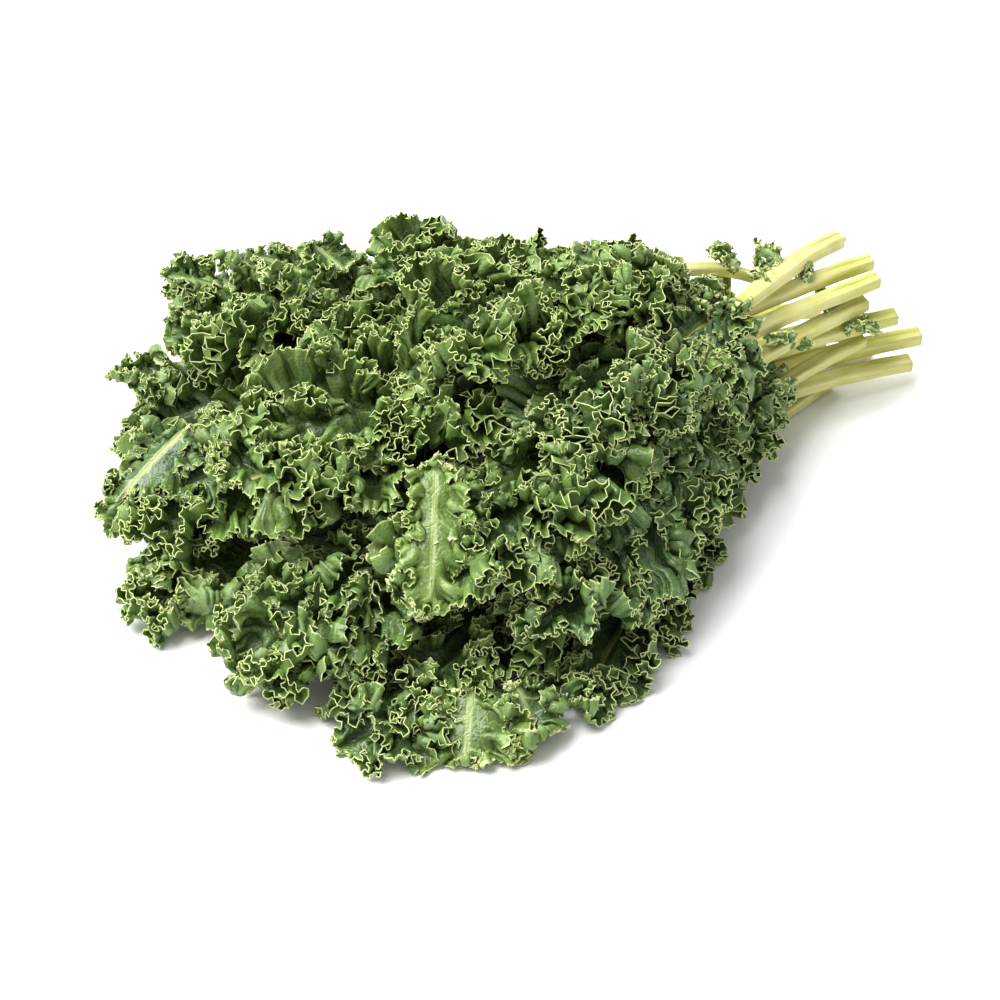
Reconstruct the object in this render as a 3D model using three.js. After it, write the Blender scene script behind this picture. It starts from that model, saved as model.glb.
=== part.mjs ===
// A bunch of curly kale lying on its side. Each leaf is two solids: a stalk, which runs on under
// the leaf as its midrib, and a blade, the space that the frilled leaf fills. The leaves are laid
// one after another on a table, each resting on those already there, fanned out from the waist
// where the stalks cross. +X points along the bunch to the cut ends, +Z is up, and the origin is
// on the table under the middle of the bunch.
import * as THREE from "three";

// Driving dimensions, in millimetres.
const CLEARANCE = 0.9; // air left between two pieces that rest on each other
const STALK_SIDES = 8;
const STALK_STEPS = 18;
const STALK_FEELERS = [-0.6, -0.3, 0, 0.3, 0.6]; // where a stalk looks for what is under it, in steps
const STIFF_STEPS = 7;
const MOST_BEND = 1.2; // how much lower each of those steps may go than straight on
const TIP_SHARE = 0.28; // the midrib's radius at its tip, as a share of the stalk's
const BLADE_CELLS_ACROSS = 8;
const BLADE_REACH = 14; // how far a blade goes past its midrib's tip
const WIDEST_AT = 0.56; // where a blade is widest, as a share of its length
const BASE_WIDTH = 0.3; // a blade's width where it leaves the stalk, as a share of its widest
const TIP_WIDTH = 0.5;
const RIB_SHOULDER = 0.6; // how steeply a blade may fall away beside its own midrib
const EDGE_LOFT = 0.8; // a blade's thickness at its edge, as a share of its thickness in the middle
const BASE_LOFT = 0.2; // and where it leaves the stalk
const LOFT_GROWTH = 1.8; // how soon along the blade it gets its full thickness
const SAG = 34; // how far a blade's edge hangs below its midrib where nothing is under it
const TIP_SAG = 30;
const SMOOTHING_ROUNDS = 4;
const SETTLE = 1.5; // a blade this close to what is under it lies down on it
const FOOT = 7; // radius in which a blade looks for what is under each point of its grid
const SPOT_REACH = 2.5; // and under the places between those points
const HEAP = { halfLength: 300, halfWidth: 240, cell: 2 };

// The leaves from the bottom of the bunch to the top. cut, waist and tip are places on the table
// [x, y]; bare is the length of stalk with no blade; half is the blade's half width, loft its
// thickness, and stalk the stalk's radius.
const LEAVES = [
  { cut: [192, -2], waist: [140, -18], tip: [-46, -145], bare: 96, half: 30, loft: 18, stalk: 4.4 },
  { cut: [208, 26], waist: [144, 32], tip: [-80, 150], bare: 150, half: 54, loft: 24, stalk: 4.8 },
  { cut: [232, -17], waist: [146, -9], tip: [-142, -122], bare: 180, half: 46, loft: 19, stalk: 4.8 },
  { cut: [226, 9], waist: [142, 16], tip: [-146, 118], bare: 195, half: 54, loft: 23, stalk: 4.6 },
  { cut: [243, -9], waist: [146, 2], tip: [-192, 8], bare: 212, half: 50, loft: 19, stalk: 5.2 },
  { cut: [206, -10], waist: [148, -17], tip: [36, -70], bare: 54, half: 32, loft: 19, stalk: 4.2 },
  { cut: [214, 38], waist: [142, 42], tip: [6, 112], bare: 58, half: 48, loft: 20, stalk: 4.2 },
  { cut: [224, -12], waist: [144, -4], tip: [-174, -60], bare: 200, half: 48, loft: 19, stalk: 4.8 },
  { cut: [224, 3], waist: [142, 9], tip: [-178, 54], bare: 215, half: 52, loft: 20, stalk: 4.6 },
  { cut: [208, -6], waist: [142, -16], tip: [-48, -118], bare: 92, half: 44, loft: 20, stalk: 4.6 },
  { cut: [212, 16], waist: [140, 22], tip: [-102, 134], bare: 165, half: 54, loft: 26, stalk: 4.6 },
  { cut: [216, -4], waist: [140, -8], tip: [-92, -84], bare: 150, half: 53, loft: 20, stalk: 4.8 },
  { cut: [220, 8], waist: [138, 2], tip: [-136, 10], bare: 190, half: 55, loft: 20, stalk: 4.8 },
  { cut: [220, 50], waist: [150, 42], tip: [-14, 86], bare: 52, half: 50, loft: 21, stalk: 4.6 },
  { cut: [212, 26], waist: [134, -6], tip: [-6, -52], bare: 96, half: 49, loft: 22, stalk: 5.4 },
  { cut: [162, 26], waist: [112, 16], tip: [-40, 12], bare: 58, half: 52, loft: 22, stalk: 3.8 },
];

// The height of what lies on the table so far, on a square grid.
class Heap {
  constructor({ halfLength, halfWidth, cell }) {
    this.cell = cell;
    this.left = -halfLength;
    this.front = -halfWidth;
    this.columns = Math.round((2 * halfLength) / cell) + 1;
    this.rows = Math.round((2 * halfWidth) / cell) + 1;
    this.height = new Float32Array(this.columns * this.rows);
  }

  // Calls visit(index, x, y) for each grid point in a box.
  scan(lowX, highX, lowY, highY, visit) {
    const clamp = (value, most) => Math.min(Math.max(value, 0), most);
    const firstColumn = clamp(Math.ceil((lowX - this.left) / this.cell), this.columns - 1);
    const lastColumn = clamp(Math.floor((highX - this.left) / this.cell), this.columns - 1);
    const firstRow = clamp(Math.ceil((lowY - this.front) / this.cell), this.rows - 1);
    const lastRow = clamp(Math.floor((highY - this.front) / this.cell), this.rows - 1);
    for (let row = firstRow; row <= lastRow; row++) {
      for (let column = firstColumn; column <= lastColumn; column++) {
        const x = this.left + column * this.cell;
        const y = this.front + row * this.cell;
        visit(row * this.columns + column, x, y);
      }
    }
  }

  // The highest thing within a radius of (x, y).
  top(x, y, radius) {
    let highest = 0;
    this.scan(x - radius, x + radius, y - radius, y + radius, (index, px, py) => {
      if (Math.hypot(px - x, py - y) <= radius) highest = Math.max(highest, this.height[index]);
    });
    return highest;
  }

  // How high the middle of a ball is when it rests at (x, y).
  ballHeight(x, y, radius) {
    let highest = radius;
    this.scan(x - radius, x + radius, y - radius, y + radius, (index, px, py) => {
      const rise = Math.sqrt(Math.max(0, radius ** 2 - (px - x) ** 2 - (py - y) ** 2));
      if (rise > 0) highest = Math.max(highest, this.height[index] + rise);
    });
    return highest;
  }

  // Adds a ball, a little larger all round than it is.
  addBall({ x, y, z }, radius) {
    const reach = radius + this.cell / 2;
    this.scan(x - reach, x + reach, y - reach, y + reach, (index, px, py) => {
      const rise = Math.sqrt(Math.max(0, reach ** 2 - (px - x) ** 2 - (py - y) ** 2));
      if (rise > 0) this.height[index] = Math.max(this.height[index], z + Math.min(rise, radius));
    });
  }

  // Adds a sloping triangle, a little larger all round than it is.
  addTriangle(a, b, c) {
    const triangle = new THREE.Triangle(flat(a), flat(b), flat(c));
    const reach = this.cell * 0.75;
    const shares = new THREE.Vector3();
    const spot = new THREE.Vector3();
    const nearest = new THREE.Vector3();
    const lowX = Math.min(a.x, b.x, c.x) - reach;
    const highX = Math.max(a.x, b.x, c.x) + reach;
    const lowY = Math.min(a.y, b.y, c.y) - reach;
    const highY = Math.max(a.y, b.y, c.y) + reach;
    this.scan(lowX, highX, lowY, highY, (index, px, py) => {
      spot.set(px, py, 0);
      triangle.closestPointToPoint(spot, nearest);
      if (nearest.distanceTo(spot) > reach) return;
      triangle.getBarycoord(nearest, shares);
      const z = a.z * shares.x + b.z * shares.y + c.z * shares.z;
      this.height[index] = Math.max(this.height[index], z);
    });
  }
}

function flat(point) {
  return new THREE.Vector3(point.x, point.y, 0);
}

// Heights of a line that rests on a list of lowest heights like a taut string, but is too stiff
// to bend down sharply in its first few steps, which stick out past the pile.
function restOn(lowest) {
  const heights = [...lowest];
  for (let round = 0; round < 400; round++) {
    for (let i = 1; i < heights.length - 1; i++) {
      heights[i] = Math.max(lowest[i], (heights[i - 1] + heights[i + 1]) / 2);
    }
  }
  for (let i = STIFF_STEPS - 1; i >= 0; i--) {
    heights[i] = Math.max(heights[i], 2 * heights[i + 1] - heights[i + 2] - MOST_BEND);
  }
  return heights;
}

// A leaf's stalk and midrib as stations, each with its centre, its radius and its way onwards.
function layStalk(leaf, heap) {
  const corners = [leaf.cut, leaf.waist, leaf.tip].map(([x, y]) => new THREE.Vector3(x, y, 0));
  const plan = new THREE.CatmullRomCurve3(corners, false, "chordal");
  const stations = Array.from({ length: STALK_STEPS + 1 }, (_, i) => {
    const share = i / STALK_STEPS;
    const slimming = THREE.MathUtils.smoothstep(share, 0.15, 0.9);
    const radius = leaf.stalk * THREE.MathUtils.lerp(1, TIP_SHARE, slimming);
    return { at: plan.getPointAt(share), onwards: plan.getTangentAt(share), radius };
  });
  const lowest = stations.map(({ radius }, i) => {
    const nearby = STALK_FEELERS.map((feeler) => THREE.MathUtils.clamp((i + feeler) / STALK_STEPS, 0, 1));
    const places = nearby.map((share) => plan.getPointAt(share));
    return Math.max(...places.map(({ x, y }) => heap.ballHeight(x, y, radius + CLEARANCE)));
  });
  restOn(lowest).forEach((z, i) => (stations[i].at.z = z));
  return { stations, length: plan.getLength() };
}

// Bends a cylinder along the stations: its rings become the stalk's rings.
function stalkGeometry(stations) {
  const geometry = new THREE.CylinderGeometry(1, 1, STALK_STEPS, STALK_SIDES, STALK_STEPS);
  const places = geometry.getAttribute("position");
  const up = new THREE.Vector3(0, 0, 1);
  for (let i = 0; i < places.count; i++) {
    const ring = Math.round(STALK_STEPS / 2 - places.getY(i));
    const { at, onwards, radius } = stations[ring];
    const side = new THREE.Vector3().crossVectors(up, onwards).normalize();
    const place = at.clone();
    place.addScaledVector(side, places.getX(i) * radius);
    place.addScaledVector(up, places.getZ(i) * radius);
    places.setXYZ(i, place.x, place.y, place.z);
  }
  return geometry;
}

function addStalkTo(heap, stations) {
  for (let i = 0; i < stations.length - 1; i++) {
    const [from, to] = [stations[i], stations[i + 1]];
    const steps = Math.ceil(from.at.distanceTo(to.at) / (heap.cell / 2));
    for (let step = 0; step <= steps; step++) {
      heap.addBall(from.at.clone().lerp(to.at, step / steps), from.radius);
    }
  }
}

// The stations under the blade, with one more straight on past the midrib's tip.
function bladeStations(leaf, { stations, length }) {
  const first = Math.round((leaf.bare / length) * STALK_STEPS);
  const last = stations[STALK_STEPS];
  const past = last.at.clone().addScaledVector(last.onwards, BLADE_REACH);
  return [...stations.slice(first), { ...last, at: past }];
}

// A blade's half width at a share of its length, 1 at its widest.
function bladeWidth(share) {
  if (share < WIDEST_AT) {
    const grown = Math.sin((share / WIDEST_AT) * (Math.PI / 2));
    return THREE.MathUtils.lerp(BASE_WIDTH, 1, grown);
  }
  const towardsTip = (share - WIDEST_AT) / (1 - WIDEST_AT);
  return THREE.MathUtils.lerp(TIP_WIDTH, 1, Math.sqrt(1 - towardsTip ** 2));
}

// The blade's under side as a grid of points that rest on the heap, and the thickness at each.
function layBlade(leaf, stalk, heap) {
  const across = BLADE_CELLS_ACROSS;
  const stations = bladeStations(leaf, stalk);
  const grid = stations.map(({ at, onwards, radius }, i) => {
    const share = i / (stations.length - 1);
    const side = new THREE.Vector3(-onwards.y, onwards.x, 0).normalize();
    const ribTop = at.z + radius + CLEARANCE;
    return Array.from({ length: across + 1 }, (_, j) => {
      const offset = (2 * j) / across - 1;
      const sideways = offset * leaf.half * bladeWidth(share);
      const place = at.clone().addScaledVector(side, sideways);
      const hang = SAG * offset ** 2 + TIP_SAG * share ** 4;
      const besideRib = ribTop - RIB_SHOULDER * Math.max(0, Math.abs(sideways) - radius);
      const lowest = Math.max(heap.top(place.x, place.y, FOOT) + CLEARANCE, besideRib);
      place.z = Math.max(lowest, ribTop - hang);
      const grown = THREE.MathUtils.lerp(BASE_LOFT, 1, Math.min(1, share * LOFT_GROWTH));
      return { place, lowest, loft: leaf.loft * grown * THREE.MathUtils.lerp(1, EDGE_LOFT, offset ** 2) };
    });
  });
  smoothGrid(grid);
  liftClear(grid, heap);
  return grid;
}

// Evens out the under side without letting it sink into what it rests on, then lets it settle
// onto what is close beneath, which makes it flat where it lies on the table.
function smoothGrid(grid) {
  for (let round = 0; round < SMOOTHING_ROUNDS; round++) {
    grid.forEach((row, i) =>
      row.forEach((point, j) => {
        const around = [grid[i - 1]?.[j], grid[i + 1]?.[j], row[j - 1], row[j + 1]].filter(Boolean);
        const mean = around.reduce((sum, other) => sum + other.place.z, 0) / around.length;
        point.place.z = Math.max(point.lowest, (point.place.z + mean) / 2);
      }),
    );
  }
  for (const { place, lowest } of grid.flat()) if (place.z - lowest < SETTLE) place.z = lowest;
}

// Lifts the under side wherever it would still touch something between its points.
function liftClear(grid, heap) {
  const steps = [0, 0.2, 0.4, 0.6, 0.8, 1];
  for (let i = 0; i < grid.length - 1; i++) {
    for (let j = 0; j < grid[i].length - 1; j++) {
      const corners = [grid[i][j], grid[i + 1][j], grid[i][j + 1], grid[i + 1][j + 1]];
      for (const s of steps) {
        for (const t of steps) {
          const shares = [(1 - s) * (1 - t), s * (1 - t), (1 - s) * t, s * t];
          const spot = new THREE.Vector3();
          corners.forEach(({ place }, k) => spot.addScaledVector(place, shares[k]));
          const short = heap.top(spot.x, spot.y, SPOT_REACH) + CLEARANCE - spot.z;
          if (short > 0) corners.forEach(({ place }) => (place.z += short));
        }
      }
    }
  }
}

// Bends a box over the grid: its lower face is the under side and its upper face is a loft above.
function bladeGeometry(grid) {
  const along = grid.length - 1;
  const across = BLADE_CELLS_ACROSS;
  const geometry = new THREE.BoxGeometry(along, across, 1, along, across, 1);
  const places = geometry.getAttribute("position");
  for (let i = 0; i < places.count; i++) {
    const column = Math.round(places.getX(i) + along / 2);
    const row = Math.round(places.getY(i) + across / 2);
    const { place, loft } = grid[column][row];
    places.setXYZ(i, place.x, place.y, place.z + (places.getZ(i) > 0 ? loft : 0));
  }
  return geometry;
}

function addBladeTo(heap, grid) {
  const top = ({ place, loft }) => place.clone().setZ(place.z + loft);
  for (let i = 0; i < grid.length - 1; i++) {
    for (let j = 0; j < grid[i].length - 1; j++) {
      const [a, b, c, d] = [grid[i][j], grid[i + 1][j], grid[i + 1][j + 1], grid[i][j + 1]].map(top);
      for (const corners of [[a, b, c], [a, c, d], [a, b, d], [b, c, d]]) heap.addTriangle(...corners);
    }
  }
}

// Turns a geometry's faces outwards if its volume comes out negative.
function facingOut(geometry) {
  const index = geometry.getIndex();
  const places = geometry.getAttribute("position");
  const corner = [0, 1, 2].map(() => new THREE.Vector3());
  let volume = 0;
  for (let i = 0; i < index.count; i += 3) {
    corner.forEach((vertex, k) => vertex.fromBufferAttribute(places, index.getX(i + k)));
    volume += corner[0].dot(corner[1].clone().cross(corner[2]));
  }
  if (volume < 0) {
    for (let i = 0; i < index.count; i += 3) {
      const [second, third] = [index.getX(i + 1), index.getX(i + 2)];
      index.setX(i + 1, third);
      index.setX(i + 2, second);
    }
  }
  geometry.computeVertexNormals();
  return geometry;
}

function buildBunch() {
  const stalkGreen = new THREE.MeshStandardMaterial({ color: "#cfcf86", roughness: 0.5, metalness: 0 });
  const bladeGreen = new THREE.MeshStandardMaterial({ color: "#4f6d2c", roughness: 0.6, metalness: 0 });
  const heap = new Heap(HEAP);
  const bunch = new THREE.Group();
  LEAVES.forEach((leaf, i) => {
    const name = `leaf_${String(i + 1).padStart(2, "0")}`;
    const stalk = layStalk(leaf, heap);
    const stalkMesh = new THREE.Mesh(facingOut(stalkGeometry(stalk.stations)), stalkGreen);
    stalkMesh.name = `${name}_stalk`;
    const grid = layBlade(leaf, stalk, heap);
    const bladeMesh = new THREE.Mesh(facingOut(bladeGeometry(grid)), bladeGreen);
    bladeMesh.name = `${name}_blade`;
    addStalkTo(heap, stalk.stations);
    addBladeTo(heap, grid);
    bunch.add(stalkMesh, bladeMesh);
  });
  return bunch;
}

// Moves every mesh so that the origin is on the table under the middle of the bunch.
function centreOnTable(bunch) {
  const box = new THREE.Box3().setFromObject(bunch);
  const centre = box.getCenter(new THREE.Vector3());
  bunch.children.forEach((mesh) => mesh.position.set(-centre.x, -centre.y, -box.min.z));
  return bunch;
}

export default centreOnTable(buildBunch());
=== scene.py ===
"""A bunch of curly kale: frilled leaves on pale stalks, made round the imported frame."""
import math

import bpy
import numpy as np
from bpy.props import FloatProperty, FloatVectorProperty, IntProperty, PointerProperty
from mathutils import Matrix, Vector
from mathutils.bvhtree import BVHTree


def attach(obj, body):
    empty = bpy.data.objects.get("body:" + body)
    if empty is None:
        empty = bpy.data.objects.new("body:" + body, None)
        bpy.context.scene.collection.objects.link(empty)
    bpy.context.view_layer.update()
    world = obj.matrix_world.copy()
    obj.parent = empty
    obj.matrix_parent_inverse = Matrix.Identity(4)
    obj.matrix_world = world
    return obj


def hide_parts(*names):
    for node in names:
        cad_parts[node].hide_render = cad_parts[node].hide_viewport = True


bl_info = {
    "name": "Curly Kale Bunch",
    "version": (1, 0, 0),
    "blender": (4, 5, 0),
    "location": "View3D > Sidebar > Kale",
    "description": "Makes the frilled leaves and the stalks of a kale bunch on its packed frame",
    "category": "Object",
}

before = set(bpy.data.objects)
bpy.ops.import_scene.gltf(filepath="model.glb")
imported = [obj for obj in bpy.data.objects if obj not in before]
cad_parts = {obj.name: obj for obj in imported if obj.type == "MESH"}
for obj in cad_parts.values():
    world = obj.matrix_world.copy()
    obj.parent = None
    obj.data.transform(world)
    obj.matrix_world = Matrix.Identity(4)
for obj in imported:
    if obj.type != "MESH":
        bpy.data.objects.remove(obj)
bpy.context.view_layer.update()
LEAVES = sorted(name.removesuffix("_blade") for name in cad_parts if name.endswith("_blade"))

MM = 0.001
TAU = 2 * math.pi


# ---- What a user would change ----


def property_maker(make, **fixed):
    """A maker of properties of one sort, from a name, a description and a default."""
    return lambda name, description, default: make(
        name=name, description=description, default=default, **fixed
    )


length_property = property_maker(FloatProperty, min=0, unit="LENGTH", precision=4)
angle_property = property_maker(FloatProperty, subtype="ANGLE")
share_property = property_maker(FloatProperty, min=0, max=1)
number_property = property_maker(FloatProperty, min=0)
colour_property = property_maker(FloatVectorProperty, size=3, min=0, max=1, subtype="COLOR")


class KaleBladeSettings(bpy.types.PropertyGroup):
    """How the leaves are frilled."""

    thickness: length_property("Thickness", "Thickness of the leaf itself", 0.4 * MM)
    fold_length: length_property("Fold Length", "Outline taken by one large fold", 36 * MM)
    fold_start: share_property("Fold Start", "Share of the way out where the folds begin", 0.16)
    roll: angle_property("Roll", "How far the folds turn up and in", 2.2)
    pucker_height: length_property("Pucker Height", "Height of the puckers of the blade", 2.4 * MM)
    ruffle_length: length_property("Ruffle Length", "Length of a ruffle along the margin", 15 * MM)
    ruffle_height: length_property("Ruffle Height", "Height of the ruffles", 4.2 * MM)
    curl_length: length_property("Curl Length", "Length of a curl along the margin", 6.4 * MM)
    curl_height: length_property("Curl Height", "Height of the curls", 1.75 * MM)
    crimp_length: length_property("Crimp Length", "Length of a crimp along the margin", 3.6 * MM)
    crimp_height: length_property("Crimp Height", "Height of the crimps", 0.4 * MM)
    tooth_length: length_property("Tooth Length", "Length of a tooth along the margin", 3.3 * MM)
    tooth_height: length_property("Tooth Height", "How far the teeth stand out", 1.3 * MM)
    lobe_depth: share_property("Lobe Depth", "How deep the margin is lobed", 0.3)
    columns_per_mm: number_property("Columns per Millimetre", "Fineness of the margin", 7.3)


class KaleStalkSettings(bpy.types.PropertyGroup):
    """The shape of the stalks."""

    sides: IntProperty(name="Sides", description="Points round a stalk", default=32, min=8)
    channel: share_property("Channel", "Depth of the channel on top, over the radius", 0.4)
    wander: length_property("Wander", "How uneven the stalks are", 0.5 * MM)


class KaleColourSettings(bpy.types.PropertyGroup):
    """The colours of the leaves and stalks."""

    # Deep green of the blade. Where it is left bare on the inner blade, it also stands as painted
    # shade in the bunch's gaps.
    leaf_dark: colour_property("Leaf Dark", "Deep green of the blade", (0.04, 0.085, 0.014))
    # Paler green for pale patches, mottle and yellower leaves. It is also laid on the outer frills
    # and near the margins as painted light.
    leaf_pale_and_lit: colour_property("Leaf Light", "Green of the frills", (0.21, 0.34, 0.062))
    leaf_under: colour_property("Leaf Under", "Green of the under side", (0.2, 0.3, 0.11))
    cool: colour_property("Leaf Cool", "Bluish green of the darker leaves", (0.045, 0.12, 0.055))
    margin: colour_property("Margin", "Pale edge of the frills", (0.8, 0.88, 0.38))
    vein: colour_property("Vein", "Pale green of the veins", (0.42, 0.53, 0.2))
    stalk: colour_property("Stalk", "Pale green of the stalks", (0.5, 0.5, 0.11))
    stalk_light: colour_property("Stalk Light", "Whitish streaks of the stalks", (0.72, 0.68, 0.3))
    cut: colour_property("Cut", "Dried rim of the cut ends", (0.5, 0.42, 0.2))


class KaleStageSettings(bpy.types.PropertyGroup):
    """The camera, the floor and the light."""

    azimuth: angle_property("Azimuth", "Camera's way round", math.radians(-30))
    elevation: angle_property("Elevation", "Camera's height above the floor", math.radians(40))
    distance: length_property("Distance", "From the camera to what it aims at", 1.6)
    lens: FloatProperty(name="Lens", description="Focal length", default=115, unit="CAMERA")
    key_strength: number_property("Key Strength", "Strength of the key light", 6.1)
    key_softness: angle_property("Key Softness", "Width of the key light", math.radians(60))
    surround: number_property("Surround", "Strength of the white surround", 0.52)


# ---- Node trees written as expressions ----


def works(operation):
    """A method that works an operation out on a wire and whatever else it is given."""
    return lambda self, *others: self.work(operation, self, *others)


def works_turned(operation):
    """The same, with the wire as the second value."""
    return lambda self, other: self.work(operation, other, self)


class Wire:
    """A node's output. Arithmetic on it adds the nodes that work the result out."""

    def __init__(self, net, socket):
        self.net = net
        self.socket = socket

    @staticmethod
    def is_vector(value):
        if isinstance(value, Wire):
            return value.socket.type in ("VECTOR", "RGBA")
        return isinstance(value, (tuple, list))

    def work(self, operation, *values):
        """The outcome of a Math operation, or of a Vector Math one if a value is a vector."""
        vectors = [Wire.is_vector(value) for value in values]
        inputs = dict(enumerate(values))
        if not any(vectors):
            return self.net.add("ShaderNodeMath", {"operation": operation}, inputs)[0]
        if operation == "MULTIPLY" and not all(vectors):
            operation = "SCALE"
            vector, scale = values if vectors[0] else values[::-1]
            inputs = {0: vector, "Scale": scale}
        return self.net.add("ShaderNodeVectorMath", {"operation": operation}, inputs)[0]

    __add__, __radd__ = works("ADD"), works_turned("ADD")
    __sub__, __rsub__ = works("SUBTRACT"), works_turned("SUBTRACT")
    __mul__, __rmul__ = works("MULTIPLY"), works_turned("MULTIPLY")
    __truediv__, __rtruediv__ = works("DIVIDE"), works_turned("DIVIDE")
    __pow__, __rpow__ = works("POWER"), works_turned("POWER")
    sine, cosine, exponent = works("SINE"), works("COSINE"), works("EXPONENT")
    size, length, direction = works("ABSOLUTE"), works("LENGTH"), works("NORMALIZE")
    at_most, at_least = works("MINIMUM"), works("MAXIMUM")

    def ramp(self, start, end, low=0.0, high=1.0, smooth=True):
        """The value's way from start to end, eased, as a number from low to high."""
        kind = "SMOOTHSTEP" if smooth else "LINEAR"
        values = {"Value": self, "From Min": start, "From Max": end, "To Min": low, "To Max": high}
        return self.net.add("ShaderNodeMapRange", {"interpolation_type": kind}, values)[0]


class Net:
    """A node tree that nodes are added to."""

    def __init__(self, tree):
        self.tree = tree

    def add(self, kind, settings=None, values=None):
        """Adds a node: its settings first, then what feeds its sockets. Gives its outputs."""
        node = self.tree.nodes.new(kind)
        for name, setting in (settings or {}).items():
            setattr(node, name, setting)
        for key, value in (values or {}).items():
            if isinstance(value, Wire):
                self.tree.links.new(value.socket, node.inputs[key])
            else:
                node.inputs[key].default_value = value
        return [Wire(self, output) for output in node.outputs if output.enabled]

    def layered(self, colour, *layers):
        """A colour with others laid over it, each by its share."""
        for share, over in layers:
            under = colour if isinstance(colour, Wire) else (*colour, 1.0)
            inputs = {0: share, 6: under, 7: (*over, 1.0)}
            colour = self.add("ShaderNodeMix", {"data_type": "RGBA"}, inputs)[0]
        return colour

    def noise(self, place, scale, detail=2.0, roughness=0.5):
        """Noise over a place, about 0.5 on average."""
        values = {"Vector": place, "Scale": scale, "Detail": detail, "Roughness": roughness}
        return self.add("ShaderNodeTexNoise", None, values)[0]

    def noise_along(self, distance, detail=1.0):
        """Noise over a number, about 0.5 on average."""
        values = {"W": distance, "Scale": 1.0, "Detail": detail}
        return self.add("ShaderNodeTexNoise", {"noise_dimensions": "1D"}, values)[0]

    # Fields of a geometry tree

    def attribute(self, name, kind="FLOAT"):
        return self.add("GeometryNodeInputNamedAttribute", {"data_type": kind}, {"Name": name})[0]

    def value_at(self, value, point, kind="FLOAT_VECTOR"):
        """A value at the point whose number an attribute holds."""
        inputs = {"Index": self.attribute(point, "INT"), "Value": value}
        settings = {"data_type": kind, "domain": "POINT"}
        return self.add("GeometryNodeFieldAtIndex", settings, inputs)[0]

    def position(self):
        return self.add("GeometryNodeInputPosition")[0]

    def normal(self):
        return self.add("GeometryNodeInputNormal")[0]

    def raised(self, height):
        """A step straight up."""
        return self.add("ShaderNodeCombineXYZ", None, {"Z": height})[0]

    def unrest(self, seed, scale, detail=2.0):
        """A step to any side, which changes over the place."""
        values = {"Vector": self.position() + seed, "Scale": scale, "Detail": detail}
        return self.add("ShaderNodeTexNoise", None, values)[1] - (0.5, 0.5, 0.5)

    def move(self, geometry, offset):
        inputs = {"Geometry": geometry, "Offset": offset}
        return self.add("GeometryNodeSetPosition", None, inputs)[0]


SOCKET_KINDS = {float: "Float", int: "Int", bpy.types.Material: "Material"}


def geometry_tree(name, values):
    """The net of a new geometry tree with an input for each value, and a wire for each input."""
    tree = bpy.data.node_groups.new(name, "GeometryNodeTree")
    for way in ("INPUT", "OUTPUT"):
        tree.interface.new_socket("Geometry", in_out=way, socket_type="NodeSocketGeometry")
    for label, value in values.items():
        kind = "NodeSocket" + SOCKET_KINDS[type(value)]
        tree.interface.new_socket(label, in_out="INPUT", socket_type=kind).default_value = value
    net = Net(tree)
    return net, {wire.socket.name: wire for wire in net.add("NodeGroupInput")}


def end_tree(net, geometry, material):
    """Ends a geometry tree in real geometry with its material."""
    real = net.add("GeometryNodeRealizeInstances", None, {"Geometry": geometry})[0]
    painted = net.add("GeometryNodeSetMaterial", None, {"Geometry": real, "Material": material})[0]
    net.add("NodeGroupOutput", None, {"Geometry": painted})


def use_tree(piece, tree, values):
    """Puts a geometry tree on a piece, with its inputs set by their identifiers."""
    modifier = piece.modifiers.new(tree.name, "NODES")
    modifier.node_group = tree
    for item in tree.interface.items_tree:
        if item.in_out == "INPUT" and item.name in values:
            modifier[item.identifier] = values[item.name]


def bake(piece):
    """Turns a piece's modifiers into its plain mesh."""
    scene_graph = bpy.context.evaluated_depsgraph_get()
    evaluated = piece.evaluated_get(scene_graph)
    mesh = bpy.data.meshes.new_from_object(
        evaluated, preserve_all_data_layers=True, depsgraph=scene_graph
    )
    piece.modifiers.clear()
    piece.data = mesh
    mesh.name = piece.name


def new_piece(name, mesh):
    """A piece at the origin, with its place in its mesh."""
    piece = bpy.data.objects.new(name, mesh)
    bpy.context.scene.collection.objects.link(piece)
    return piece


def store(mesh, name, kind, values):
    """Keeps a value for every point of a mesh under a name."""
    field = "vector" if kind == "FLOAT_VECTOR" else "value"
    plain = np.ascontiguousarray(values, np.int32 if kind == "INT" else np.float32)
    mesh.attributes.new(name, kind, "POINT").data.foreach_set(field, plain.ravel())


# ---- Reading the frame ----

WELD = 0.01 * MM
STALK_SIDES = 8
SPINE_STEP = 1.5 * MM
PAST_TIP = 40 * MM
LINE_ROUNDS = 120
RADIUS_ROUNDS = 20
CAST_MARGIN = 10 * MM
SLAB_ROWS = 48
SLAB_COLUMNS = 21
WIDTH_ROUNDS = 3
TABLE_ROUNDS = 2


def mesh_arrays(mesh):
    """A mesh's points, and the three points of each of its triangles."""
    mesh.calc_loop_triangles()
    points = np.empty(3 * len(mesh.vertices))
    mesh.vertices.foreach_get("co", points)
    corners = np.empty(3 * len(mesh.loop_triangles), int)
    mesh.loop_triangles.foreach_get("vertices", corners)
    return points.reshape(-1, 3), corners.reshape(-1, 3)


def welded(node):
    """A CAD node's points and triangles, with points that coincide made one."""
    points, triangles = mesh_arrays(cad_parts[node].data)
    cells = np.round(points / WELD)
    _, first, same = np.unique(cells, axis=0, return_index=True, return_inverse=True)
    return points[first], same.ravel()[triangles]


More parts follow.
